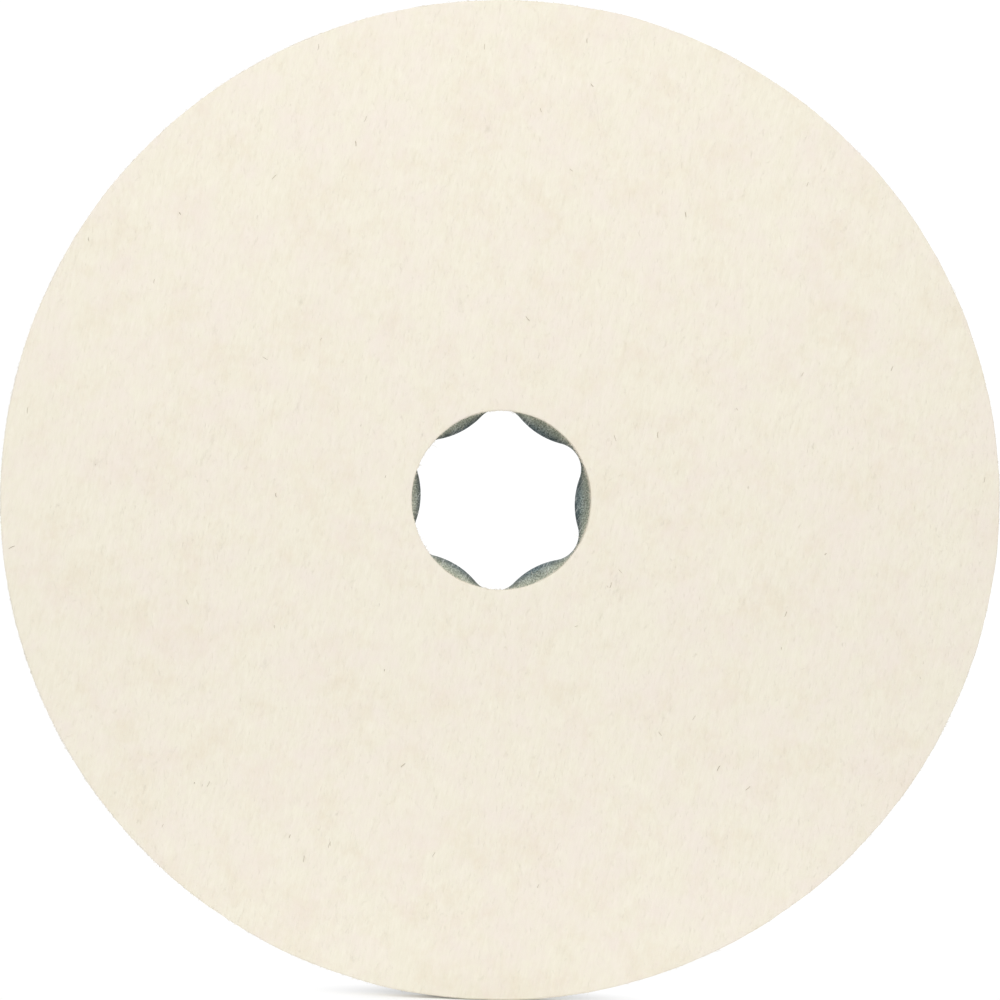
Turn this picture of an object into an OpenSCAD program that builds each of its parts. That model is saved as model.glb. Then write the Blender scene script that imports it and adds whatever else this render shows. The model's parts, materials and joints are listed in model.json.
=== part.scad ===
// Felt polishing disc with a quick-mount steel hub, for an angle polisher.
//
// A die-cut wool felt disc is glued to a stiff vulcanised-fibre disc. A pressed steel
// hub is glued into a shallow seat in the back of the fibre. The machine's lobed lock
// head goes in through the hub's opening from behind, turns in the room in front of the
// hub's floor, and pulls the fibre disc flat against the backing pad.
//
// Units are millimetres. The disc spins about Y. The felt's working face looks to -Y
// and the hub to +Y. The origin is on the spin axis, at the back face of the fibre
// disc, which is the face that the backing pad bears on.

/* [Felt] */
// Diameter of the felt disc
felt_d = 125; // [75:1:180]
// Thickness of the felt
felt_t = 6; // [3:0.5:15]
// Diameter of the hole in the felt
felt_hole_d = 22.4; // [18:0.1:28]
// Radius of the soft edges of the working face
felt_edge_r = 0.3; // [0.2:0.1:1.2]

/* [Backing] */
// Thickness of the vulcanised-fibre disc
backing_t = 0.8; // [0.5:0.1:2]
// How far the fibre disc's rim stays inside the felt's rim
backing_inset = 1.5; // [0.5:0.5:5]
// Thickness of the adhesive film between the felt and the fibre disc
film_t = 0.2; // [0.1:0.05:0.5]
// How far the adhesive film stays back from the rims that it joins
film_setback = 0.8; // [0.3:0.1:2]

/* [Hub] */
// Thickness of the steel sheet
sheet_t = 1; // [0.6:0.1:1.6]
// Inner radius of both bends in the sheet
bend_r = 0.3; // [0.2:0.1:1]
// Straight height of the cup's wall between its two bends
wall_h = 1.2; // [0.6:0.1:4]
// Width of the flange outside the cup
flange_w = 7; // [4:0.5:12]
// Thickness of the adhesive ring under the flange, and depth of the seat that holds it
ring_t = 0.15; // [0.1:0.05:0.4]
// How far the adhesive ring stays back from the flange's rim
ring_setback = 0.5; // [0.2:0.1:2]
// Gap between the flange's rim and the wall of its seat in the fibre disc
seat_clearance = 0.3; // [0.1:0.1:1]

/* [Lock opening] */
// Number of lobes in the opening
lobe_count = 6; // [5:1:8]
// Diameter of the circle that the lands between the lobes touch
opening_d = 19.5; // [17:0.1:24]
// Depth of each lobe beyond that circle
lobe_depth = 1.75; // [1.2:0.05:2]
// Radius of the lands between the lobes
land_r = 9.9; // [8:0.1:12]
// Room round the lobes for the lock head to turn inside the cup
head_clearance = 1.5; // [0.5:0.1:3]

/* [Hidden] */

$fn = 180;
// Straight steps that stand for each arc in an outline
arc_steps = 10;
// Extra length of a cutting shape past the face that it cuts
cut_past = 1;

// Heights along the spin axis, from the back face of the fibre disc towards the hub
film_back = -backing_t;
felt_back = film_back - film_t;
felt_face = felt_back - felt_t;
ring_front = -ring_t;
flange_front = 0;
flange_back = flange_front + sheet_t;
outer_bend_r = bend_r + sheet_t;
floor_front = flange_front + outer_bend_r + wall_h + bend_r;
floor_back = floor_front + sheet_t;

// Radii
felt_r = felt_d / 2;
felt_hole_r = felt_hole_d / 2;
backing_r = felt_r - backing_inset;
land_reach = opening_d / 2;
lobe_reach = land_reach + lobe_depth;
cup_inner_r = lobe_reach + head_clearance;
cup_outer_r = cup_inner_r + sheet_t;
flange_r = cup_outer_r + flange_w;
seat_r = flange_r + seat_clearance;
film_inner_r = max(felt_hole_r, cup_inner_r) + film_setback;

// The lobes and the lands are arcs that meet tangentially
half_pitch = 180 / lobe_count;
land_centre = land_reach + land_r;
lobe_r = (pow(land_centre, 2) - 2 * land_centre * lobe_reach * cos(half_pitch)
          + pow(lobe_reach, 2) - pow(land_r, 2))
         / (2 * (land_r + lobe_reach - land_centre * cos(half_pitch)));
lobe_centre = lobe_reach - lobe_r;
// Half of the angle that each land's arc spans round its own centre
land_half_angle = asin(lobe_centre * sin(half_pitch) / (lobe_r + land_r));
// Half of the angle that each lobe's arc spans round its own centre
lobe_half_angle = half_pitch + land_half_angle;

// Points along an arc about centre, from one angle to another
function arc(centre, r, from, to) =
    [for (i = [0:arc_steps])
        let (a = from + (to - from) * i / arc_steps)
        centre + r * [cos(a), sin(a)]];

// A point at a distance from the origin, in the direction of an angle
function polar(r, a) = r * [cos(a), sin(a)];

// Turns a solid made along +Z so that +Z points along +Y
module along_spin_axis() {
    rotate([-90, 0, 0]) children();
}

// A flat ring with square edges
module flat_ring(outer_r, inner_r, from, thickness) {
    translate([0, 0, from])
        difference() {
            cylinder(h = thickness, r = outer_r);
            translate([0, 0, -cut_past])
                cylinder(h = thickness + 2 * cut_past, r = inner_r);
        }
}

// Half section of the felt: both edges of the working face are soft
module felt_section() {
    soft = min(felt_edge_r, felt_t / 3);
    polygon(concat(
        arc([felt_hole_r + soft, felt_face + soft], soft, 180, 270),
        arc([felt_r - soft, felt_face + soft], soft, 270, 360),
        [[felt_r, felt_back], [felt_hole_r, felt_back]]
    ));
}

// Half section of the hub's sheet, without the opening: flange, cup wall and floor
module hub_section() {
    front_bend = [cup_outer_r + bend_r, flange_back + bend_r];
    rear_bend = [cup_inner_r - bend_r, floor_front - bend_r];
    polygon(concat(
        [[0, floor_back], [0, floor_front]],
        arc(rear_bend, bend_r, 90, 0),
        arc(front_bend, outer_bend_r, 180, 270),
        [[flange_r, flange_front], [flange_r, flange_back]],
        arc(front_bend, bend_r, 270, 180),
        arc(rear_bend, outer_bend_r, 0, 90)
    ));
}

// Outline of the opening: a convex arc for each lobe and a concave one for each land
module opening_outline() {
    polygon([
        for (i = [0:lobe_count - 1])
            let (lobe_a = (2 * i + 1) * half_pitch, land_a = lobe_a + half_pitch)
            each concat(
                arc(polar(lobe_centre, lobe_a), lobe_r,
                    lobe_a - lobe_half_angle, lobe_a + lobe_half_angle),
                arc(polar(land_centre, land_a), land_r,
                    land_a + 180 + land_half_angle, land_a + 180 - land_half_angle)
            )
    ]);
}

// Wool felt, the piece that polishes
module felt_disc() {
    color("#f1eadb")
        along_spin_axis()
            rotate_extrude() felt_section();
}

// Film of hot-melt adhesive between the felt and the fibre disc
module felt_bond() {
    color("#c9b98f")
        along_spin_axis()
            flat_ring(backing_r - film_setback, film_inner_r, felt_back, film_t);
}

// Vulcanised-fibre disc that keeps the felt flat, with the hub's seat pressed into it
module backing_disc() {
    color("#3f4245")
        along_spin_axis()
            difference() {
                flat_ring(backing_r, cup_inner_r, film_back, backing_t);
                translate([0, 0, ring_front])
                    cylinder(h = ring_t + cut_past, r = seat_r);
            }
}

// Ring of adhesive in the seat, under the hub's flange
module hub_bond() {
    color("#b9ab86")
        along_spin_axis()
            flat_ring(flange_r - ring_setback, cup_inner_r + outer_bend_r, ring_front, ring_t);
}

// Zinc-plated steel pressing: a flange, a shallow cup and a floor with the lobed opening
module hub() {
    color("#9ba19b")
        along_spin_axis()
            difference() {
                rotate_extrude() hub_section();
                translate([0, 0, floor_front - cut_past])
                    linear_extrude(height = sheet_t + 2 * cut_past) opening_outline();
            }
}

felt_disc();
felt_bond();
backing_disc();
hub_bond();
hub();
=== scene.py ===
"""Wool felt polishing disc with a quick-mount steel hub.

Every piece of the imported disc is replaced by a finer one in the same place: matted felt with its
nap and loose fibres, hot-melt squeezed out at the joints, calendered vulcanised fibre, and a
zinc-plated pressing with a punched opening.
"""

import json
import math

import bpy
import numpy as np
from mathutils import Matrix, Vector, noise


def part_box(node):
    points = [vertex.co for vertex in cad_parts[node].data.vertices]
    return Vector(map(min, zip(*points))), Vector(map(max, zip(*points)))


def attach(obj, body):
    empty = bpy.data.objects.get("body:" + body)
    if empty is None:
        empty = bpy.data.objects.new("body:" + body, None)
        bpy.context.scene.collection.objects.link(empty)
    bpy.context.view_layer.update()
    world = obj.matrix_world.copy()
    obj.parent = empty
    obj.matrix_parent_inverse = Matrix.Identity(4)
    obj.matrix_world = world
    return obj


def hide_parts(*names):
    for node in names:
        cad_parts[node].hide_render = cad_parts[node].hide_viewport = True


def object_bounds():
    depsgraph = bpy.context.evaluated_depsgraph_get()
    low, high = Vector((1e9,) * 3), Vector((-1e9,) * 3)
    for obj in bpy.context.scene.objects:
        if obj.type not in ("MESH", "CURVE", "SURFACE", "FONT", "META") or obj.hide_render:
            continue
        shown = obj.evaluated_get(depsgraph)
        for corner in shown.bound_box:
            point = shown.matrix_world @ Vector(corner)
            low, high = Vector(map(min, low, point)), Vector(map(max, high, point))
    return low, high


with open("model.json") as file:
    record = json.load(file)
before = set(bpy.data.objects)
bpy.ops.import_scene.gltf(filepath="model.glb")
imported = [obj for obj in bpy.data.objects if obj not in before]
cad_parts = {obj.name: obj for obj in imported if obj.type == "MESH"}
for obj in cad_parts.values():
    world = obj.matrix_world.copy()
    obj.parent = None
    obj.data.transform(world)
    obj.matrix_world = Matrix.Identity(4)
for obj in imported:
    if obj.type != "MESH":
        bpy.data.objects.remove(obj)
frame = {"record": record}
cad_low, cad_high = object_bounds()

MM = 0.001
ROOT = "root"


def mount_radius(name):
    """Radius of one of the record's round mounts, in metres."""
    mount = next(m for m in frame["record"]["mounts"] if m["name"] == name)
    return mount["dims"]["r_mm"] * MM


# ---------------------------------------------------------------- sizes from the frame
felt_low, felt_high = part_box("felt_disc")
film_low, film_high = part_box("felt_bond")
backing_low, backing_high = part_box("backing_disc")
ring_low, ring_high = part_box("hub_bond")
hub_low, hub_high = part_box("hub")

FELT_R = felt_high.x
FELT_HOLE_R = mount_radius("felt_hole")
FELT_FACE = felt_low.y
FELT_BACK = felt_high.y
FLANGE_R = hub_high.x
CUP_OUTER_R = mount_radius("hub_rim")

# Sizes of the pressing that its box doesn't give
SHEET_T = 1.0 * MM
BEND_R = 0.3 * MM
SEAT_CLEARANCE = 0.3 * MM
LOBES = 6
LAND_REACH = 9.75 * MM
LOBE_REACH = 11.5 * MM
LAND_R = 9.9 * MM

CUP_INNER_R = CUP_OUTER_R - SHEET_T
SEAT_R = FLANGE_R + SEAT_CLEARANCE
FLANGE_BACK = hub_low.y + SHEET_T
FLOOR_FRONT = hub_high.y - SHEET_T
OUTER_BEND_R = BEND_R + SHEET_T

# The nap was combed one way when the felt was sheared
NAP_ANGLE = math.radians(80)
NAP_WAY = Vector((math.cos(NAP_ANGLE), 0, math.sin(NAP_ANGLE)))
NAP_ACROSS = Vector((-math.sin(NAP_ANGLE), 0, math.cos(NAP_ANGLE)))
# How far the hairs of the nap, and the burrs in it, stray from that way
NAP_SPREAD = math.radians(19)
BURR_SPREAD = math.radians(30)


# ---------------------------------------------------------------- mesh building
def arc(centre, radius, start, end, steps):
    """Points (r, y) along an arc of a section, angles in degrees."""
    angles = np.radians(np.linspace(start, end, steps + 1))
    return [(centre[0] + radius * math.cos(a), centre[1] + radius * math.sin(a)) for a in angles]


def line(start, end, spacing):
    """Points (r, y) along a straight stretch of a section, without its two ends."""
    start, end = np.array(start), np.array(end)
    steps = max(1, round(float(np.linalg.norm(end - start)) / spacing))
    return [tuple(start + (end - start) * i / steps) for i in range(1, steps)]


def around(count):
    """Angles of count even steps round the spin axis."""
    return np.linspace(0, 2 * math.pi, count, endpoint=False)


def polar(r, turn, y):
    """Points at a radius, at an angle round the spin axis and at a height along it."""
    return np.stack([r * np.cos(turn), np.zeros_like(turn) + y, r * np.sin(turn)], axis=-1)


def revolve(section, angles):
    """Rows of points: every point of the section at every angle round the spin axis."""
    r, y = np.array(section).T
    ones = np.ones_like(angles)
    return np.stack([
        np.outer(r, np.cos(angles)),
        np.outer(y, ones),
        np.outer(r, np.sin(angles)),
    ], axis=-1)


def mesh_object(name, points, faces):
    """A smooth mesh object from arrays of points and faces."""
    mesh = bpy.data.meshes.new(name)
    mesh.from_pydata(points.tolist(), [], faces if isinstance(faces, list) else faces.tolist())
    mesh.polygons.foreach_set("use_smooth", [True] * len(mesh.polygons))
    mesh.update()
    made = bpy.data.objects.new(name, mesh)
    bpy.context.scene.collection.objects.link(made)
    return made


def closed_skin(name, rows):
    """A closed ring-shaped mesh whose section and turn both join up, facing outwards."""
    count, steps = rows.shape[:2]
    i, j = np.meshgrid(np.arange(count), np.arange(steps), indexing="ij")
    i_next, j_next = (i + 1) % count, (j + 1) % steps
    corners = [i * steps + j, i_next * steps + j, i_next * steps + j_next, i * steps + j_next]
    faces = np.stack(corners, axis=-1).reshape(-1, 4)
    points = rows.reshape(-1, 3)
    a, b, c, d = (points[faces[:, k]] for k in range(4))
    volume = np.einsum("ij,ij->", a, np.cross(b, c)) + np.einsum("ij,ij->", a, np.cross(c, d))
    if volume < 0:
        faces = faces[:, ::-1]
    return mesh_object(name, points, faces)


def section_normals(section):
    """Outward unit normals (r, y) of a closed section that runs so that its outside is on its left."""
    p = np.array(section)
    tangent = np.roll(p, -1, axis=0) - np.roll(p, 1, axis=0)
    tangent /= np.linalg.norm(tangent, axis=1)[:, None]
    return np.stack([-tangent[:, 1], tangent[:, 0]], axis=-1)


def swell(rows, section, angles, height):
    """Moves every point of the rows outwards by height(point), a function in metres."""
    normals = revolve(section_normals(section), angles)
    flat = rows.reshape(-1, 3)
    heights = np.array([height(Vector(p)) for p in flat.tolist()])
    return rows + normals * heights.reshape(rows.shape[:2])[..., None]


def wobble(angles, waves_per_turn, seed):
    """Smooth noise round a circle, from -1 to 1, with about that many waves in a turn."""
    r = waves_per_turn / (2 * math.pi)
    return np.array([noise.noise(Vector((r * math.cos(a), r * math.sin(a), seed))) for a in angles])


def finish_piece(piece, material, slot, *nodes):
    """Gives a piece its material, puts it on the body, and hides the nodes it stands for. The slot is
    not used.
    """
    piece.data.materials.append(material)
    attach(piece, ROOT)
    if nodes:
        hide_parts(*nodes)
    return piece


# ---------------------------------------------------------------- node building
def linear(hex_colour):
    """An sRGB hex colour as linear RGBA."""
    parts = [int(hex_colour[i:i + 2], 16) / 255 for i in (1, 3, 5)]
    return [p / 12.92 if p <= 0.04045 else ((p + 0.055) / 1.055) ** 2.4 for p in parts] + [1.0]


def add(tree, kind, inputs=None, **settings):
    """Adds a node: settings are its own properties, inputs are values or the sockets to link from."""
    made = tree.nodes.new("ShaderNode" + kind)
    for name, value in settings.items():
        setattr(made, name, value)
    for socket, value in (inputs or {}).items():
        if isinstance(value, bpy.types.NodeSocket):
            tree.links.new(value, made.inputs[socket])
        else:
            made.inputs[socket].default_value = value
    return made


# Sockets of the Mix node when it mixes colours
FACTOR, COLOUR_A, COLOUR_B, MIXED = 0, 6, 7, 2


def new_material(name):
    """An empty material with its tree, its output and its object coordinates in millimetres."""
    material = bpy.data.materials.new(name)
    material.use_nodes = True
    tree = material.node_tree
    tree.nodes.clear()
    output = add(tree, "OutputMaterial")
    place = add(tree, "TexCoord").outputs["Object"]
    in_mm = add(tree, "Mapping", {"Vector": place, "Scale": (1 / MM,) * 3}).outputs["Vector"]
    return material, tree, output, in_mm


def axis_distance(tree, in_mm):
    """Distance from the spin axis, and height along it, as two sockets in millimetres."""
    away = add(tree, "SeparateXYZ", {0: in_mm}).outputs
    across = add(tree, "CombineXYZ", {0: away[0], 1: away[2]}).outputs[0]
    radius = add(tree, "VectorMath", {0: across}, operation="LENGTH").outputs["Value"]
    return radius, away[1]


def wool_felt():
    """Pressed and sheared wool felt, undyed. Matt cream, with a fine combed nap, tan and rosy
    mottling where the wools differ, and a few greyish smudges."""
    material, tree, output, in_mm = new_material("wool_felt")
    along = add(tree, "Mapping", {"Vector": in_mm, "Rotation": (0, NAP_ANGLE, 0)}).outputs["Vector"]

    # Hair bundles 0.16 mm wide and 1 mm long. Single hairs are a fifth of that and wouldn't show.
    hair_place = add(tree, "Mapping", {"Vector": along, "Scale": (1 / 1.0, 1 / 0.4, 1 / 0.16)})
    hairs = add(tree, "TexNoise", {
        "Vector": hair_place.outputs["Vector"], "Scale": 1.0, "Detail": 3.0, "Roughness": 0.6,
    }).outputs["Fac"]
    # Tufts that the carding left, 0.6 mm wide and 2.5 mm long
    tuft_place = add(tree, "Mapping", {"Vector": along, "Scale": (1 / 2.5, 1 / 1.0, 1 / 0.6)})
    tufts = add(tree, "TexNoise", {
        "Vector": tuft_place.outputs["Vector"], "Scale": 1.0, "Detail": 2.0, "Roughness": 0.55,
    }).outputs["Fac"]
    # Matted layers, 0.35 mm thick: ridges on the cut walls, and a faint unevenness in the face
    ply_place = add(tree, "Mapping", {"Vector": in_mm, "Scale": (1 / 3.0, 1 / 0.35, 1 / 3.0)})
    plies = add(tree, "TexNoise", {
        "Vector": ply_place.outputs["Vector"], "Scale": 1.0, "Detail": 3.0, "Roughness": 0.65,
    }).outputs["Fac"]
    # Mottling of blended wools: tan spots and rosy patches, 5 mm across and broken up to 0.3 mm
    spots = add(tree, "TexNoise", {
        "Vector": in_mm, "Scale": 1 / 5.0, "Detail": 4.0, "Roughness": 0.75,
    }).outputs["Fac"]
    rosy = add(tree, "TexNoise", {
        "Vector": along, "Scale": 1 / 5.0, "Detail": 4.0, "Roughness": 0.72,
    }).outputs["Fac"]
    # Smudges 3 mm across, few and far between
    smudge_place = add(tree, "Mapping", {"Vector": along, "Scale": (1 / 4.5, 1 / 3.0, 1 / 2.4)})
    smudge = add(tree, "TexNoise", {
        "Vector": smudge_place.outputs["Vector"], "Scale": 1.0, "Detail": 5.0, "Roughness": 0.65,
    }).outputs["Fac"]

    tone = add(tree, "Math", {0: hairs, 1: 0.47}, operation="MULTIPLY").outputs[0]
    tone = add(tree, "Math", {0: tufts, 1: 0.5, 2: tone}, operation="MULTIPLY_ADD").outputs[0]
    tone = add(tree, "Math", {0: plies, 1: 0.25, 2: tone}, operation="MULTIPLY_ADD").outputs[0]
    tone = add(tree, "Math", {0: tone, 1: 0.11}, operation="SUBTRACT").outputs[0]
    shade = add(tree, "Mix", {
        FACTOR: tone, COLOUR_A: linear("#e3dcc8"), COLOUR_B: linear("#f8f3e4"),
    }, data_type="RGBA").outputs[MIXED]
    tan = add(tree, "MapRange", {
        "Value": spots, "From Min": 0.48, "From Max": 0.75, "To Min": 0.0, "To Max": 0.2,
    }).outputs[0]
    shade = add(tree, "Mix", {
        FACTOR: tan, COLOUR_A: shade, COLOUR_B: linear("#d9bfa2"),
    }, data_type="RGBA").outputs[MIXED]
    rose = add(tree, "MapRange", {
        "Value": rosy, "From Min": 0.42, "From Max": 0.68, "To Min": 0.0, "To Max": 0.5,
    }).outputs[0]
    shade = add(tree, "Mix", {
        FACTOR: rose, COLOUR_A: shade, COLOUR_B: linear("#efe3dc"),
    }, data_type="RGBA").outputs[MIXED]
    dirt = add(tree, "MapRange", {
        "Value": smudge, "From Min": 0.66, "From Max": 0.82, "To Min": 0.0, "To Max": 0.35,
    }).outputs[0]
    shade = add(tree, "Mix", {
        FACTOR: dirt, COLOUR_A: shade, COLOUR_B: linear("#aba58f"),
    }, data_type="RGBA").outputs[MIXED]

    bump = add(tree, "Bump", {"Height": plies, "Distance": 0.032 * MM, "Strength": 1.0})
    bump = add(tree, "Bump", {
        "Height": tufts, "Distance": 0.024 * MM, "Strength": 1.0, "Normal": bump.outputs["Normal"],
    })
    bump = add(tree, "Bump", {
        "Height": hairs, "Distance": 0.006 * MM, "Strength": 1.0, "Normal": bump.outputs["Normal"],
    })
    surface = add(tree, "BsdfPrincipled", {
        "Base Color": shade,
        "Roughness": 0.95,
        "IOR": 1.5,
        "Specular IOR Level": 0.2,
        "Sheen Weight": 0.15,
        "Sheen Roughness": 0.5,
        "Normal": bump.outputs["Normal"],
    })
    tree.links.new(surface.outputs["BSDF"], output.inputs["Surface"])
    return material


def loose_wool():
    """Loose wool hairs on the felt. Cream, some hairs a little lighter than others."""
    material, tree, output, in_mm = new_material("loose_wool")
    # Each hair is one tone for most of its length
    tone = add(tree, "TexNoise", {"Vector": in_mm, "Scale": 1 / 1.2, "Detail": 1.0}).outputs["Fac"]
    shade = add(tree, "Mix", {
        FACTOR: tone, COLOUR_A: linear("#e9e2d2"), COLOUR_B: linear("#f5f0e5"),
    }, data_type="RGBA").outputs[MIXED]
    surface = add(tree, "BsdfPrincipled", {
        "Base Color": shade,
        "Roughness": 0.7,
        "IOR": 1.55,
        "Specular IOR Level": 0.3,
        "Sheen Weight": 0.1,
    })
    tree.links.new(surface.outputs["BSDF"], output.inputs["Surface"])
    return material


def burr_and_kemp():
    """Vegetable bits and coarse pigmented hair in undyed wool. Dull grey-brown."""
    material, tree, output, in_mm = new_material("burr_and_kemp")
    tone = add(tree, "TexNoise", {"Vector": in_mm, "Scale": 1 / 3.0, "Detail": 1.0}).outputs["Fac"]
    shade = add(tree, "Mix", {
        FACTOR: tone, COLOUR_A: linear("#8a8270"), COLOUR_B: linear("#c9bda3"),
    }, data_type="RGBA").outputs[MIXED]
    surface = add(tree, "BsdfPrincipled", {"Base Color": shade, "Roughness": 0.75, "IOR": 1.5})
    tree.links.new(surface.outputs["BSDF"], output.inputs["Surface"])
    return material


def hot_melt():
    """Hot-melt adhesive, set in the joint. Amber, waxy, glossy where it was squeezed out."""
    material, tree, output, in_mm = new_material("hot_melt")
    cloud = add(tree, "TexNoise", {"Vector": in_mm, "Scale": 1 / 1.5, "Detail": 3.0}).outputs["Fac"]
    shade = add(tree, "Mix", {
        FACTOR: cloud, COLOUR_A: linear("#a9853f"), COLOUR_B: linear("#dcc383"),
    }, data_type="RGBA").outputs[MIXED]
    rough = add(tree, "MapRange", {"Value": cloud, "To Min": 0.2, "To Max": 0.45}).outputs[0]
    bump = add(tree, "Bump", {"Height": cloud, "Distance": 0.04 * MM, "Strength": 1.0})
    surface = add(tree, "BsdfPrincipled", {
        "Base Color": shade, "Roughness": rough, "IOR": 1.48, "Normal": bump.outputs["Normal"],
    })
    tree.links.new(surface.outputs["BSDF"], output.inputs["Surface"])
    return material


def vulcanised_fibre():
    """Vulcanised cotton paper, calendered. Charcoal grey and horn-like, with a dull sheen, faint
    flecks of undissolved paper and fine scuffs."""
    material, tree, output, in_mm = new_material("vulcanised_fibre")
    # Undissolved flecks, 0.15 mm wide and 0.8 mm long along the paper machine's direction
    fleck_place = add(tree, "Mapping", {"Vector": in_mm, "Scale": (1 / 0.8, 1 / 0.2, 1 / 0.16)})
    fleck = add(tree, "TexNoise", {
        "Vector": fleck_place.outputs["Vector"], "Scale": 1.0, "Detail": 2.0, "Roughness": 0.5,
    }).outputs["Fac"]
    cloud = add(tree, "TexNoise", {
        "Vector": in_mm, "Scale": 1 / 9.0, "Detail": 5.0, "Roughness": 0.55,
    }).outputs["Fac"]
    # Scuffs from turning on the backing pad: arcs round the axis, 0.5 mm apart, in patches
    radius, height = axis_distance(tree, in_mm)
    scuff = add(tree, "TexNoise", {
        "Vector": add(tree, "CombineXYZ", {0: radius, 1: height}).outputs[0],
        "Scale": 1 / 0.5, "Detail": 3.0, "Roughness": 0.7,
    }).outputs["Fac"]
    scuff = add(tree, "Math", {0: scuff, 1: cloud}, operation="MULTIPLY").outputs[0]
    scuff = add(tree, "MapRange", {
        "Value": scuff, "From Min": 0.22, "From Max": 0.38, "To Min": 0.0, "To Max": 0.14,
    }).outputs[0]
    # The calender's roll marks, 1.4 mm apart
    roll = add(tree, "TexNoise", {"Vector": in_mm, "Scale": 1 / 1.4, "Detail": 2.0}).outputs["Fac"]

    shade = add(tree, "Mix", {
        FACTOR: cloud, COLOUR_A: linear("#2f3235"), COLOUR_B: linear("#4b4e50"),
    }, data_type="RGBA").outputs[MIXED]
    flecks = add(tree, "MapRange", {
        "Value": fleck, "From Min": 0.58, "From Max": 0.75, "To Min": 0.0, "To Max": 0.45,
    }).outputs[0]
    shade = add(tree, "Mix", {
        FACTOR: flecks, COLOUR_A: shade, COLOUR_B: linear("#77766f"),
    }, data_type="RGBA").outputs[MIXED]
    shade = add(tree, "Mix", {
        FACTOR: scuff, COLOUR_A: shade, COLOUR_B: linear("#7d7f80"),
    }, data_type="RGBA").outputs[MIXED]
    rough = add(tree, "MapRange", {"Value": roll, "To Min": 0.36, "To Max": 0.58}).outputs[0]
    bump = add(tree, "Bump", {"Height": roll, "Distance": 0.03 * MM, "Strength": 1.0})
    bump = add(tree, "Bump", {
        "Height": fleck, "Distance": 0.008 * MM, "Strength": 1.0, "Normal": bump.outputs["Normal"],
    })
    surface = add(tree, "BsdfPrincipled", {
        "Base Color": shade, "Roughness": rough, "IOR": 1.53, "Normal": bump.outputs["Normal"],
    })
    tree.links.new(surface.outputs["BSDF"], output.inputs["Surface"])
    return material


# Centre (x, z) of the painted reflection of the felt wall on the cup's floor, in millimetres: set off
# to where the felt hole's edge falls as the camera sees it
REFLECTION_CENTRE = (0.45, 0.05, 0.0)


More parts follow.
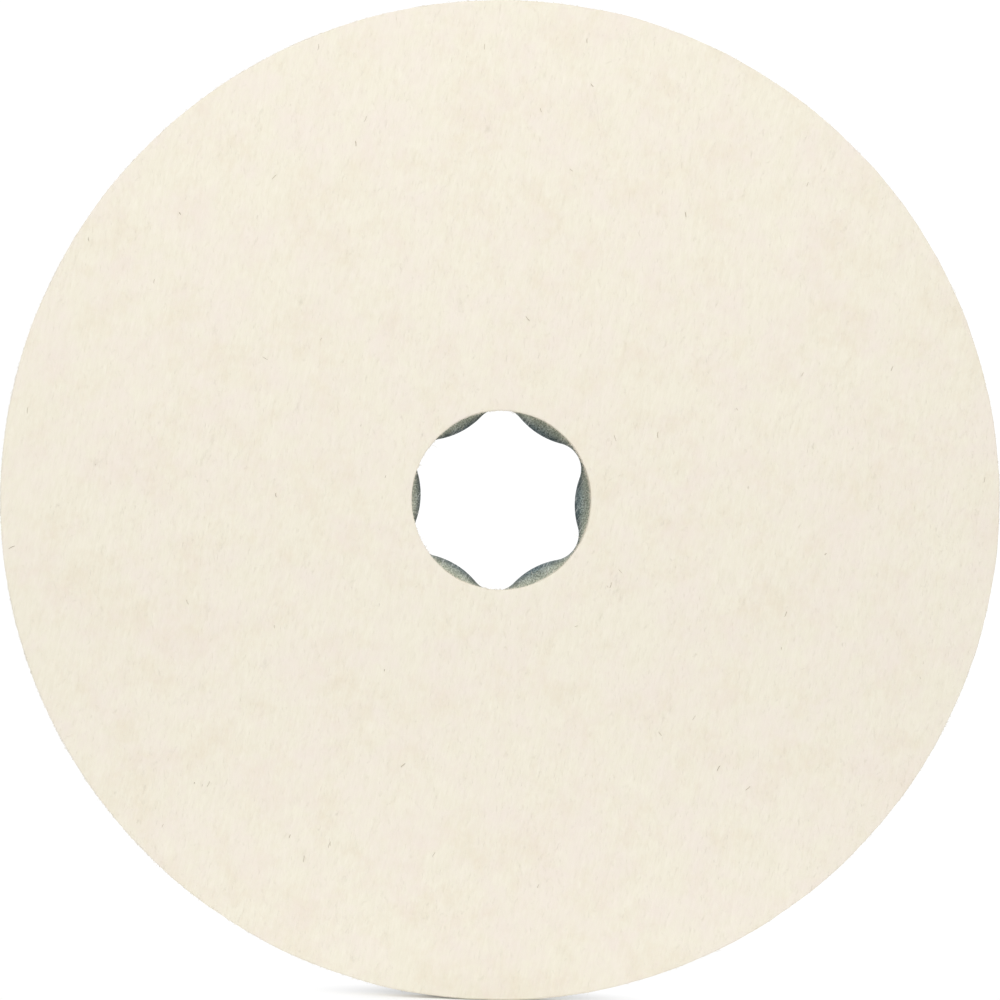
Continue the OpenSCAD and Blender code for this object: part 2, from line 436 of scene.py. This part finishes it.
def zinc_plated_steel():
    """Electroplated zinc on pressed mild steel, passivated. Satin grey with a blue cast, speckled
    by the crystals of the zinc, darker inside the cup and along the punched edge as painted shade,
    with a pale straw painted reflection of the felt wall towards the felt's edge, die lines and stray
    scratches."""
    material, tree, output, in_mm = new_material("zinc_plated_steel")
    # Zinc crystals are about 0.02 mm. They're drawn at 0.2 mm, so that the speckle shows.
    grain = add(tree, "TexNoise", {
        "Vector": in_mm, "Scale": 1 / 0.2, "Detail": 2.0, "Roughness": 0.7,
    }).outputs["Fac"]
    patch = add(tree, "TexNoise", {
        "Vector": in_mm, "Scale": 1 / 1.6, "Detail": 3.0, "Roughness": 0.6,
    }).outputs["Fac"]
    # Die lines run round the axis, 0.25 mm apart
    radius, height = axis_distance(tree, in_mm)
    die = add(tree, "TexNoise", {
        "Vector": add(tree, "CombineXYZ", {0: radius, 1: height}).outputs[0],
        "Scale": 1 / 0.25, "Detail": 2.0,
    }).outputs["Fac"]
    # Scratches 0.07 mm wide and a few millimetres long
    turned = add(tree, "Mapping", {"Vector": in_mm, "Rotation": (0, math.radians(62), 0)})
    drawn_out = add(tree, "Mapping", {
        "Vector": turned.outputs["Vector"], "Scale": (1 / 3.0, 1 / 1.0, 1 / 0.07),
    })
    scratch = add(tree, "TexNoise", {
        "Vector": drawn_out.outputs["Vector"], "Scale": 1.0, "Detail": 1.0,
    }).outputs["Fac"]
    # How far a point of the floor is from the punched edge, whose radius swings with the lobes
    place = add(tree, "SeparateXYZ", {0: in_mm}).outputs
    turn = add(tree, "Math", {0: place[2], 1: place[0]}, operation="ARCTAN2").outputs[0]
    swing = add(tree, "Math", {0: turn, 1: LOBES}, operation="MULTIPLY").outputs[0]
    swing = add(tree, "Math", {0: swing}, operation="COSINE").outputs[0]
    edge = add(tree, "MapRange", {
        "Value": swing, "From Min": -1.0, "From Max": 1.0,
        "To Min": LOBE_REACH / MM, "To Max": LAND_REACH / MM,
    }).outputs[0]
    from_edge = add(tree, "Math", {0: radius, 1: edge}, operation="SUBTRACT").outputs[0]
    # Painted shade: darker and bluish along the punched edge
    edge_shade = add(tree, "MapRange", {
        "Value": from_edge, "From Min": 0.05, "From Max": 0.6, "To Min": 0.65, "To Max": 0.0,
    }).outputs[0]
    # Painted reflection of the lit felt wall: a pale straw ring round the inside of the cup's floor, a
    # little off centre
    reflection_reach = add(tree, "VectorMath", {
        0: add(tree, "CombineXYZ", {0: place[0], 1: place[2]}).outputs[0], 1: REFLECTION_CENTRE,
    }, operation="DISTANCE").outputs["Value"]
    outwards = add(tree, "MapRange", {
        "Value": reflection_reach, "From Min": LAND_REACH / MM + 0.1, "From Max": FELT_HOLE_R / MM + 0.1,
    }).outputs[0]
    in_front = add(tree, "MapRange", {
        "Value": height, "From Min": FLOOR_FRONT / MM + 0.1, "From Max": FLOOR_FRONT / MM + 0.5,
        "To Min": 1.0, "To Max": 0.0,
    }).outputs[0]
    in_cup = add(tree, "MapRange", {
        "Value": radius, "From Min": CUP_INNER_R / MM + 0.1, "From Max": CUP_INNER_R / MM + 0.5,
        "To Min": 1.0, "To Max": 0.0,
    }).outputs[0]
    inside = add(tree, "Math", {0: in_front, 1: in_cup}, operation="MULTIPLY").outputs[0]
    felt_wall_reflection = add(tree, "Math", {0: outwards, 1: inside}, operation="MULTIPLY").outputs[0]

    # Inside the cup the crystals are coarser, as the bath stood longer there, and the colour is
    # darker: painted shade for the recess behind the felt
    dark = add(tree, "Mix", {
        FACTOR: inside, COLOUR_A: linear("#929da1"), COLOUR_B: linear("#4a5a5f"),
    }, data_type="RGBA").outputs[MIXED]
    # Pale straw towards the felt's edge: the painted reflection of the felt wall, on both ends of the
    # speckle
    dark = add(tree, "Mix", {
        FACTOR: felt_wall_reflection, COLOUR_A: dark, COLOUR_B: linear("#a4ac9b"),
    }, data_type="RGBA").outputs[MIXED]
    light = add(tree, "Mix", {
        FACTOR: felt_wall_reflection, COLOUR_A: linear("#bccfd3"), COLOUR_B: linear("#f2f5e6"),
    }, data_type="RGBA").outputs[MIXED]
    speckle = add(tree, "Math", {0: grain, 1: 0.78}, operation="MULTIPLY").outputs[0]
    speckle = add(tree, "Math", {0: patch, 1: 0.22, 2: speckle}, operation="MULTIPLY_ADD").outputs[0]
    speckle = add(tree, "MapRange", {
        "Value": speckle, "From Min": 0.4, "From Max": 0.62, "To Min": 0.0, "To Max": 1.0,
    }).outputs[0]
    shade = add(tree, "Mix", {
        FACTOR: speckle, COLOUR_A: dark, COLOUR_B: light,
    }, data_type="RGBA").outputs[MIXED]
    # Painted shade along the punched edge
    shade = add(tree, "Mix", {
        FACTOR: edge_shade, COLOUR_A: shade, COLOUR_B: linear("#3f474c"),
    }, data_type="RGBA").outputs[MIXED]
    bright = add(tree, "MapRange", {
        "Value": scratch, "From Min": 0.63, "From Max": 0.7, "To Min": 0.0, "To Max": 0.8,
    }).outputs[0]
    shade = add(tree, "Mix", {
        FACTOR: bright, COLOUR_A: shade, COLOUR_B: linear("#eef1f0"),
    }, data_type="RGBA").outputs[MIXED]
    rough = add(tree, "MapRange", {"Value": grain, "To Min": 0.26, "To Max": 0.44}).outputs[0]
    rough = add(tree, "Math", {0: inside, 1: 0.16, 2: rough}, operation="MULTIPLY_ADD").outputs[0]
    bump = add(tree, "Bump", {"Height": grain, "Distance": 0.02 * MM, "Strength": 1.0})
    bump = add(tree, "Bump", {
        "Height": die, "Distance": 0.006 * MM, "Strength": 1.0, "Normal": bump.outputs["Normal"],
    })
    surface = add(tree, "BsdfPrincipled", {
        "Base Color": shade, "Metallic": 1.0, "Roughness": rough, "Normal": bump.outputs["Normal"],
    })
    tree.links.new(surface.outputs["BSDF"], output.inputs["Surface"])
    return material


# ---------------------------------------------------------------- felt
FELT_EDGE_R = 0.2 * MM
FELT_STEPS = 640
# Spacing of the mesh's points along the section
FACE_SPACING = 0.6 * MM
WALL_SPACING = 0.25 * MM
BACK_SPACING = 6 * MM
# The matted body of the rim lies this deep under the ends of its hairs
RIM_SINK = 0.05 * MM
# The felt sprang back from the die, so the hole is this much wider in radius at the back
HOLE_TAPER = 0.35 * MM


def rim_wall(y):
    """Radius of the rim's wall, the same at every height along the axis."""
    return np.full_like(y, FELT_R - RIM_SINK)


def hole_wall(y):
    """Radius of the hole's wall at a height along the axis."""
    return FELT_HOLE_R + HOLE_TAPER * (y - FELT_FACE) / (FELT_BACK - FELT_FACE)


def felt_relief(p):
    """How far the face stands proud of its nominal plane: slow swells and the lie of the tufts."""
    swells = noise.noise(p / (9 * MM))
    tuft = Vector((p.dot(NAP_WAY) / (3.5 * MM), p.y / (1.2 * MM), p.dot(NAP_ACROSS) / (1.6 * MM)))
    return 0.025 * MM * swells + 0.012 * MM * noise.noise(tuft)


def felt_height(p):
    """Relief of the whole felt. The die leaves the matted layers as ridges on the cut walls, and
    the glued back is flat."""
    if p.y > FELT_BACK - WALL_SPACING / 2:
        return 0.0
    wall = min(1.0, max(0.0, (p.y - FELT_FACE) / FELT_EDGE_R))
    layer = Vector((p.x / (5 * MM), p.y / (0.8 * MM), p.z / (5 * MM)))
    ply = Vector((p.x / (2 * MM), p.y / (0.4 * MM), p.z / (2 * MM)))
    ridges = 0.08 * MM * noise.noise(layer) + 0.05 * MM * noise.noise(ply)
    return felt_relief(p) + wall * ridges


def felt_section():
    """Section of the felt: hole wall, soft edge, working face, soft edge, rim wall and back."""
    hole_back, rim_back = (hole_wall(FELT_BACK), FELT_BACK), (rim_wall(FELT_BACK), FELT_BACK)
    hole_edge = (hole_wall(FELT_FACE) + FELT_EDGE_R, FELT_FACE + FELT_EDGE_R)
    rim_edge = (rim_wall(FELT_FACE) - FELT_EDGE_R, FELT_FACE + FELT_EDGE_R)
    hole_arc = arc(hole_edge, FELT_EDGE_R, 180, 270, 6)
    rim_arc = arc(rim_edge, FELT_EDGE_R, 270, 360, 6)
    return [
        hole_back, *line(hole_back, hole_arc[0], WALL_SPACING), *hole_arc,
        *line(hole_arc[-1], rim_arc[0], FACE_SPACING), *rim_arc,
        *line(rim_arc[-1], rim_back, WALL_SPACING), rim_back,
        *line(rim_back, hole_back, BACK_SPACING),
    ]


def felt_disc(material):
    """The matted body of the felt."""
    section = felt_section()[::-1]
    angles = around(FELT_STEPS)
    rows = swell(revolve(section, angles), section, angles, felt_height)
    piece = closed_skin("felt", rows)
    return finish_piece(piece, material, "wool_felt", "felt_disc")


# ---------------------------------------------------------------- loose hairs
HAIR_SIDES = 3
# Points along a hair: few in the nap, which is short and nearly straight
NAP_POINTS = 4
HAIR_POINTS = 7
WALL_HAIR_POINTS = 5
# Hairs that lie on the felt are sunk into it by this much at their ends
LYING_SINK = 0.02 * MM
# How far the root of a hair is inside the wall that it stands out of
ROOT_DEPTH = 0.06 * MM
# How far lint stands off the cup's floor, so that it doesn't cut into it
LINT_GAP = 0.03 * MM


def hair_mesh(name, paths, radii):
    """Thin closed tubes, pointed at both ends. paths holds one row of points for each hair."""
    count, length = paths.shape[:2]
    inner = length - 2
    tangent = paths[:, 2:] - paths[:, :-2]
    tangent /= np.linalg.norm(tangent, axis=-1, keepdims=True)
    helper = np.where(np.abs(tangent[..., 1:2]) > 0.9, [[[1.0, 0.0, 0.0]]], [[[0.0, 1.0, 0.0]]])
    side = np.cross(tangent, helper)
    side /= np.linalg.norm(side, axis=-1, keepdims=True)
    up = np.cross(side, tangent)
    turn = around(HAIR_SIDES)
    rings = (
        paths[:, 1:-1, None]
        + radii[:, None, None, None] * (
            side[:, :, None] * np.cos(turn)[:, None] + up[:, :, None] * np.sin(turn)[:, None]
        )
    )
    per_hair = inner * HAIR_SIDES + 2
    points = np.concatenate(
        [rings.reshape(count, -1, 3), paths[:, :1], paths[:, -1:]], axis=1
    ).reshape(-1, 3)
    first, last = inner * HAIR_SIDES, inner * HAIR_SIDES + 1
    one_hair = []
    for i in range(inner - 1):
        for s in range(HAIR_SIDES):
            t = (s + 1) % HAIR_SIDES
            one_hair.append((i * HAIR_SIDES + s, i * HAIR_SIDES + t,
                             (i + 1) * HAIR_SIDES + t, (i + 1) * HAIR_SIDES + s))
    end_ring = (inner - 1) * HAIR_SIDES
    tips = []
    for s in range(HAIR_SIDES):
        t = (s + 1) % HAIR_SIDES
        tips.append((first, t, s))
        tips.append((last, end_ring + s, end_ring + t))
    base = (np.arange(count) * per_hair)[:, None, None]
    quads = (np.array(one_hair)[None] + base).reshape(-1, 4).tolist()
    triangles = (np.array(tips)[None] + base).reshape(-1, 3).tolist()
    return mesh_object(name, points, quads + triangles)


def lying_hairs(start, heading, length, bow, lift, sink, points):
    """Paths of hairs that lie on a face, bowed sideways and lifted in their middle."""
    along = polar(1.0, heading, 0.0)
    up = np.tile([0.0, -1.0, 0.0], (len(start), 1))
    side = np.cross(up, along)
    t = np.linspace(0, 1, points)
    hump = 4 * t * (1 - t)
    return (
        start[:, None]
        + along[:, None] * (length[:, None] * (t - 0.5))[..., None]
        + side[:, None] * (bow[:, None] * hump)[..., None]
        + up[:, None] * (lift[:, None] * hump - sink)[..., None]
    )


def on_felt(r, turn):
    """Points on the relief of the working face."""
    start = polar(r, turn, FELT_FACE)
    start[:, 1] -= [felt_relief(Vector(p)) for p in start.tolist()]
    return start


def nap_hairs(name, material, count, seed):
    """Short hairs that lie on the working face, combed along the nap."""
    rng = np.random.default_rng(seed)
    low, high = FELT_HOLE_R + FELT_EDGE_R, FELT_R - FELT_EDGE_R
    r = np.sqrt(rng.uniform(low ** 2, high ** 2, count))
    turn = rng.uniform(0, 2 * math.pi, count)
    heading = NAP_ANGLE + rng.normal(0, NAP_SPREAD, count)
    length = rng.uniform(0.4, 1.5, count) * MM
    bow = rng.normal(0, 0.05, count) * length
    lift = rng.uniform(0.008, 0.034, count) * MM
    radii = rng.uniform(0.012, 0.022, count) * MM
    paths = lying_hairs(on_felt(r, turn), heading, length, bow, lift, LYING_SINK, NAP_POINTS)
    piece = hair_mesh(name, paths, radii)
    return finish_piece(piece, material, "wool_felt")


def wall_hairs(name, material, wall, outward, count, stand, seed):
    """Hairs that the die pulled out of a cut wall. wall gives the wall's radius at a height, and the
    hairs stand out of it by about stand: away from the axis if outward is 1, towards it if -1."""
    rng = np.random.default_rng(seed)
    turn = rng.uniform(0, 2 * math.pi, count)
    y = rng.uniform(FELT_FACE + 0.25 * MM, FELT_BACK - 0.1 * MM, count)
    out = outward * polar(1.0, turn, 0.0)
    start = polar(wall(y), turn, y)
    round_it = np.stack([-np.sin(turn), np.zeros(count), np.cos(turn)], axis=-1)
    axis = np.array([[0.0, 1.0, 0.0]])
    lean = rng.uniform(-math.pi, math.pi, count)[:, None]
    flat = round_it * np.cos(lean) + axis * np.sin(lean)
    tip_out = rng.gamma(1.6, stand / 1.6, count)[:, None]
    run = rng.uniform(0.1, 0.8, count)[:, None] * MM
    curl = rng.normal(0, 0.12, count)[:, None] * MM
    t = np.linspace(0, 1, WALL_HAIR_POINTS)[None, :, None]
    sideways = np.cross(out, flat)
    paths = (
        start[:, None]
        + out[:, None] * ((tip_out[:, None] + ROOT_DEPTH) * t - ROOT_DEPTH)
        + flat[:, None] * (run[:, None] * t)
        + sideways[:, None] * (curl[:, None] * t * t)
    )
    radii = rng.uniform(0.012, 0.024, count) * MM
    piece = hair_mesh(name, paths, radii)
    return finish_piece(piece, material, "wool_felt")


def cup_lint(material, count, seed):
    """Loose wool hairs that stuck to the floor of the hub's cup, round the opening."""
    rng = np.random.default_rng(seed)
    turn = rng.uniform(0, 2 * math.pi, count)
    edge = LAND_REACH + (LOBE_REACH - LAND_REACH) * (1 - np.cos(LOBES * turn)) / 2
    r = rng.uniform(edge + 0.1 * MM, CUP_INNER_R - 0.4 * MM)
    heading = rng.uniform(0, 2 * math.pi, count)
    length = rng.uniform(0.3, 1.3, count) * MM
    bow = rng.normal(0, 0.12, count) * length
    lift = rng.uniform(0.02, 0.2, count) * MM
    radii = rng.uniform(0.012, 0.025, count) * MM
    start = polar(r, turn, FLOOR_FRONT - LINT_GAP)
    paths = lying_hairs(start, heading, length, bow, lift, 0.0, HAIR_POINTS)
    piece = hair_mesh("cup_lint", paths, radii)
    return finish_piece(piece, material, "wool_felt")


def burrs(material, count, seed):
    """Bits of burr and coarse dark hair that washing the wool left in the face."""
    rng = np.random.default_rng(seed)
    low, high = FELT_HOLE_R + 1 * MM, FELT_R - 1 * MM
    r = np.sqrt(rng.uniform(low ** 2, high ** 2, count))
    turn = rng.uniform(0, 2 * math.pi, count)
    heading = NAP_ANGLE + rng.normal(0, BURR_SPREAD, count)
    length = rng.uniform(0.25, 1.1, count) * MM
    bow = rng.normal(0, 0.1, count) * length
    lift = np.full(count, 0.03 * MM)
    radii = rng.uniform(0.02, 0.045, count) * MM
    paths = lying_hairs(on_felt(r, turn), heading, length, bow, lift, LYING_SINK, HAIR_POINTS)
    piece = hair_mesh("felt_burrs", paths, radii)
    return finish_piece(piece, material, "wool_felt")


# ---------------------------------------------------------------- adhesive
FILM_SETBACK = 0.8 * MM
FILM_STEPS = 360
# Steps round the axis of the bead and of the fibre disc
TURN_STEPS = 480
# The bead between the flange and the wall of its seat, before it wanders
BEAD_HALF_WIDTH = 0.24 * MM
BEAD_HEIGHT = 0.16 * MM
# The adhesive under the flange stays this far from the steel over it and the fibre beside it
GLUE_GAP = 0.02 * MM


def hot_melt_film(material):
    """The film between felt and fibre disc. Its rims wander where it was squeezed."""
    angles = around(FILM_STEPS)
    inner, outer = CUP_INNER_R + FILM_SETBACK, film_high.x
    section = [
        (inner, film_low.y), (inner, film_high.y), (outer, film_high.y), (outer, film_low.y),
    ]
    rows = revolve(section, angles)
    stretch = np.ones((4, len(angles)))
    stretch[:2] += 0.3 * MM / inner * wobble(angles, 30, 1.0)
    stretch[2:] += 0.35 * MM / outer * wobble(angles, 90, 2.0)
    rows[..., 0] *= stretch
    rows[..., 2] *= stretch
    piece = closed_skin("adhesive_film", rows)
    return finish_piece(piece, material, "adhesive", "felt_bond")


def hub_bead(material):
    """The adhesive in the hub's seat, with a bead squeezed out between the flange and the seat."""
    angles = around(TURN_STEPS)
    inner = CUP_INNER_R + OUTER_BEND_R
    middle = (FLANGE_R + SEAT_R) / 2
    bead = [
        (middle + BEAD_HALF_WIDTH * math.cos(a), BEAD_HEIGHT * math.sin(a))
        for a in np.linspace(0, math.pi, 9)
    ]
    under_flange = ring_high.y - GLUE_GAP
    under = [(FLANGE_R - 0.2 * MM, under_flange), (inner, under_flange)]
    floor = [(inner, ring_low.y), (SEAT_R - GLUE_GAP, ring_low.y)]
    section = [*bead, *under, *floor]
    rows = revolve(section, angles)
    fat = 1 + 0.55 * wobble(angles, 40, 5.0) + 0.3 * wobble(angles, 130, 6.0)
    shape = slice(1, len(bead) - 1)
    radius = np.hypot(rows[shape, :, 0], rows[shape, :, 2])
    new_radius = middle + (radius - middle) * fat
    for axis in (0, 2):
        rows[shape, :, axis] *= new_radius / radius
    rows[shape, :, 1] *= fat
    piece = closed_skin("adhesive_bead", rows)
    return finish_piece(piece, material, "adhesive", "hub_bond")


# ---------------------------------------------------------------- fibre disc
def fibre_disc(material):
    """The vulcanised-fibre disc, with blunted die-cut edges and the hub's seat."""
    blunt = 0.12 * MM
    front, back = backing_low.y, backing_high.y
    rim, hole = backing_high.x, CUP_INNER_R
    section = [
        *arc((rim - blunt, front + blunt), blunt, -90, 0, 3),
        *arc((rim - blunt, back - blunt), blunt, 0, 90, 3),
        *line((rim - blunt, back), (SEAT_R + blunt, back), 2.5 * MM),
        *arc((SEAT_R + blunt, back - blunt), blunt, 90, 180, 3),
        (SEAT_R, ring_low.y),
        *arc((hole + blunt, ring_low.y - blunt), blunt, 90, 180, 3),
        *arc((hole + blunt, front + blunt), blunt, 180, 270, 3),
        *line((hole + blunt, front), (rim - blunt, front), 8 * MM),
    ]
    rows = revolve(section, around(TURN_STEPS))
    piece = closed_skin("fibre_backing", rows)
    return finish_piece(piece, material, "vulcanised_fibre", "backing_disc")


# ---------------------------------------------------------------- hub
def opening_outline(steps_per_arc):
    """The lobed opening: its points (x, z), and the unit normals that point into the metal."""
    half_pitch = math.pi / LOBES
    land_centre = LAND_REACH + LAND_R
    lobe_r = (
        (land_centre ** 2 - 2 * land_centre * LOBE_REACH * math.cos(half_pitch)
         + LOBE_REACH ** 2 - LAND_R ** 2)
        / (2 * (LAND_R + LOBE_REACH - land_centre * math.cos(half_pitch)))
    )
    lobe_centre = LOBE_REACH - lobe_r
    land_half = math.asin(lobe_centre * math.sin(half_pitch) / (lobe_r + LAND_R))
    lobe_half = half_pitch + land_half
    points, normals = [], []
    for i in range(LOBES):
        lobe_a = (2 * i + 1) * half_pitch
        land_a = lobe_a + half_pitch
        for a in np.linspace(lobe_a - lobe_half, lobe_a + lobe_half, steps_per_arc, endpoint=False):
            way = np.array([math.cos(a), math.sin(a)])
            centre = lobe_centre * np.array([math.cos(lobe_a), math.sin(lobe_a)])
            points.append(centre + lobe_r * way)
            normals.append(way)
        start = land_a + math.pi + land_half
        for a in np.linspace(start, start - 2 * land_half, steps_per_arc, endpoint=False):
            way = np.array([math.cos(a), math.sin(a)])
            centre = land_centre * np.array([math.cos(land_a), math.sin(land_a)])
            points.append(centre + LAND_R * way)
            normals.append(-way)
    return np.array(points), np.array(normals)


# The punched edge: how far and how wide its front droops, and how much its corners are broken
DROOP = 0.03 * MM
DROOP_WIDTH = 0.45 * MM
BREAK = 0.05 * MM
# Points along each lobe and each land, and spacing of the points across the flange
OUTLINE_STEPS = 30
FLANGE_SPACING = 1.2 * MM


def hub_rows():
    """Rows of points over the whole pressing, from the punched edge out and back again."""
    outline, into_metal = opening_outline(OUTLINE_STEPS)
    angles = np.arctan2(outline[:, 1], outline[:, 0])
    bend_start = CUP_INNER_R - BEND_R
    circle = bend_start * np.stack([np.cos(angles), np.sin(angles)], axis=-1)

    def at(flat, y):
        return np.stack([flat[:, 0], np.full(len(flat), y), flat[:, 1]], axis=-1)

    # The punch drew the front edge in by a little, and broke out squarely at the back
    floor_back = hub_high.y
    rows = [
        at(outline, floor_back - BREAK),
        at(outline, (floor_back + FLOOR_FRONT) / 2),
        at(outline, FLOOR_FRONT + DROOP + BREAK),
    ]
    for t in np.linspace(0, 1, 6):
        rows.append(at(outline + into_metal * (BREAK + DROOP_WIDTH * t),
                       FLOOR_FRONT + DROOP * (1 - t) ** 2))
    edge = outline + into_metal * (BREAK + DROOP_WIDTH)
    for t in np.linspace(0, 1, 9)[1:-1]:
        rows.append(at(edge + (circle - edge) * t, FLOOR_FRONT))

    rim_round = 0.15 * MM
    front_bend = (CUP_OUTER_R + BEND_R, FLANGE_BACK + BEND_R)
    rear_bend = (CUP_INNER_R - BEND_R, FLOOR_FRONT - BEND_R)
    sheet = [
        *arc(rear_bend, BEND_R, 90, 0, 5),
        *arc(front_bend, OUTER_BEND_R, 180, 270, 9),
        *line((front_bend[0], hub_low.y), (FLANGE_R - rim_round, hub_low.y), FLANGE_SPACING),
        *arc((FLANGE_R - rim_round, hub_low.y + rim_round), rim_round, -90, 0, 4),
        *arc((FLANGE_R - rim_round, FLANGE_BACK - rim_round), rim_round, 0, 90, 4),
        *line((FLANGE_R - rim_round, FLANGE_BACK), (front_bend[0], FLANGE_BACK), FLANGE_SPACING),
        *arc(front_bend, BEND_R, 270, 180, 5),
        *arc(rear_bend, OUTER_BEND_R, 0, 90, 9),
    ]
    rows.extend(revolve(sheet, angles))
    edge = outline + into_metal * BREAK
    for t in np.linspace(1, 0, 9)[1:]:
        rows.append(at(edge + (circle - edge) * t, floor_back))
    return np.array(rows)


def hub(material):
    """The zinc-plated pressing."""
    piece = closed_skin("steel_hub", hub_rows())
    return finish_piece(piece, material, "zinc_plated_steel", "hub")


# ---------------------------------------------------------------- stage, light and camera
FLOOR_R = 0.12
# The floor takes shadow this far round the disc's foot, and only glows beyond the second distance
SHADOW_REACH = 2 * MM
SURROUND_REACH = 24 * MM
FLOOR_GLOW = 1.02
# White of the surroundings as the camera sees them, and the tent's own light below and above
SEEN_WHITE = 1.05
TENT_BELOW = 0.98
TENT_ABOVE = 0.8
# The tent's mouth, in front and a little above, is dim inside the first cone and fades to the second
MOUTH_WAY = Vector((0.0, -1.0, 0.1)).normalized()
MOUTH_INSIDE = math.radians(18)
MOUTH_OUTSIDE = math.radians(40)
MOUTH_LIGHT = 0.25
VIEW_DISTANCE = 1.0
VIEW_AZIMUTH = math.radians(-2.7)
VIEW_ELEVATION = math.radians(0.35)
VIEW_ROLL = math.radians(2.1)


def pale_floor():
    """A round pale floor under the disc's rim, lit from below except where the disc stands."""
    material, tree, output, in_mm = new_material("pale_floor")
    away = add(tree, "SeparateXYZ", {0: in_mm})
    across = add(tree, "CombineXYZ", {0: away.outputs[0], 1: away.outputs[1]}).outputs[0]
    reach = add(tree, "VectorMath", {0: across}, operation="LENGTH").outputs["Value"]
    glow = add(tree, "MapRange", {
        "Value": reach, "From Min": SHADOW_REACH / MM, "From Max": SURROUND_REACH / MM,
    }, interpolation_type="SMOOTHSTEP").outputs[0]
    paper = add(tree, "BsdfPrincipled", {"Base Color": linear("#f4f4f3"), "Roughness": 0.9})
    surround = add(tree, "Emission", {"Color": (1, 1, 1, 1), "Strength": FLOOR_GLOW})
    surface = add(tree, "MixShader", {0: glow, 1: paper.outputs[0], 2: surround.outputs[0]})
    tree.links.new(surface.outputs[0], output.inputs["Surface"])
    angles = around(96)
    spokes = np.linspace(0, FLOOR_R, 9)
    points = revolve([(r, 0) for r in spokes], angles)[..., [0, 2, 1]]
    points[..., 2] = cad_low.z
    steps = len(angles)
    faces = [
        (i * steps + j, (i + 1) * steps + j,
         (i + 1) * steps + (j + 1) % steps, i * steps + (j + 1) % steps)
        for i in range(len(spokes) - 1) for j in range(steps)
    ]
    floor = mesh_object("floor", points.reshape(-1, 3), faces)
    floor.data.materials.append(material)


def studio_air():
    """A white light tent with a dim mouth in front, where the camera stands. The camera itself
    sees plain white all round."""
    world = bpy.data.worlds.new("studio_air")
    bpy.context.scene.world = world
    world.use_nodes = True
    tree = world.node_tree
    tree.nodes.clear()
    way = add(tree, "TexCoord").outputs["Generated"]
    facing = add(tree, "VectorMath", {0: way, 1: MOUTH_WAY}, operation="DOT_PRODUCT").outputs["Value"]
    mouth = add(tree, "MapRange", {
        "Value": facing, "From Min": math.cos(MOUTH_OUTSIDE), "From Max": math.cos(MOUTH_INSIDE),
        "To Min": 1.0, "To Max": MOUTH_LIGHT,
    }, interpolation_type="SMOOTHSTEP").outputs[0]
    up = add(tree, "SeparateXYZ", {0: way}).outputs[2]
    sky = add(tree, "MapRange", {
        "Value": up, "From Min": -1.0, "From Max": 1.0, "To Min": TENT_BELOW, "To Max": TENT_ABOVE,
    }).outputs[0]
    tent = add(tree, "Math", {0: mouth, 1: sky}, operation="MULTIPLY").outputs[0]
    seen = add(tree, "LightPath").outputs["Is Camera Ray"]
    power = add(tree, "Mix", {0: seen, 2: tent, 3: SEEN_WHITE}, data_type="FLOAT").outputs[0]
    air = add(tree, "Background", {"Color": (1, 1, 1, 1), "Strength": power})
    output = add(tree, "OutputWorld")
    tree.links.new(air.outputs[0], output.inputs["Surface"])


def softbox(name, place, size, watts):
    """A square area light aimed at the disc."""
    light = bpy.data.lights.new(name, "AREA")
    light.size = size
    light.energy = watts
    made = bpy.data.objects.new(name, light)
    made.location = place
    made.rotation_euler = (-Vector(place)).to_track_quat("-Z", "Y").to_euler()
    bpy.context.scene.collection.objects.link(made)


def view_camera():
    """A long lens, nearly square on to the working face, with the rim just filling the frame."""
    data = bpy.data.cameras.new("view")
    camera = bpy.data.objects.new("view", data)
    bpy.context.scene.collection.objects.link(camera)
    bpy.context.scene.camera = camera
    centre = Vector((0, FELT_FACE, 0))
    back = Vector((
        math.sin(VIEW_AZIMUTH) * math.cos(VIEW_ELEVATION),
        -math.cos(VIEW_AZIMUTH) * math.cos(VIEW_ELEVATION),
        math.sin(VIEW_ELEVATION),
    ))
    camera.location = centre + back * VIEW_DISTANCE
    rim_r = rim_wall(FELT_FACE)
    rim = [
        Vector((rim_r * math.cos(a), FELT_FACE + FELT_EDGE_R, rim_r * math.sin(a)))
        for a in around(180)
    ]
    aim = centre.copy()
    # Each round aims closer to the middle of the rim as it is seen
    for _ in range(3):
        turn = (aim - camera.location).to_track_quat("-Z", "Y").to_matrix()
        turn = turn @ Matrix.Rotation(VIEW_ROLL, 3, "Z")
        seen = [turn.transposed() @ (p - camera.location) for p in rim]
        u = [-p.x / p.z for p in seen]
        v = [-p.y / p.z for p in seen]
        shift = Vector(((max(u) + min(u)) / 2, (max(v) + min(v)) / 2, 0)) * VIEW_DISTANCE
        aim += turn @ shift
    camera.rotation_euler = turn.to_euler()
    data.lens = data.sensor_width / max(max(u) - min(u), max(v) - min(v))
    data.clip_start, data.clip_end = 0.01, 20.0


# ---------------------------------------------------------------- build
view_camera()
felt_material = wool_felt()
hair_material = loose_wool()
glue_material = hot_melt()
felt = felt_disc(felt_material)
nap_hairs("felt_nap_low", hair_material, count=16000, seed=7)
nap_hairs("felt_nap_high", hair_material, count=16000, seed=8)
wall_hairs("rim_hairs", hair_material, rim_wall, 1, count=10800, stand=0.09 * MM, seed=21)
wall_hairs("hole_hairs", hair_material, hole_wall, -1, count=4500, stand=0.12 * MM, seed=22)
wall_hairs("hole_strays", hair_material, hole_wall, -1, count=110, stand=0.35 * MM, seed=23)
cup_lint(hair_material, count=70, seed=41)
burrs(burr_and_kemp(), count=56, seed=31)
hot_melt_film(glue_material)
hub_bead(glue_material)
fibre_disc(vulcanised_fibre())
hub(zinc_plated_steel())

pale_floor()
studio_air()
softbox("key", (-0.03, -0.36, 0.21), 0.22, 0.66)
bpy.context.scene.view_settings.view_transform = "Standard"
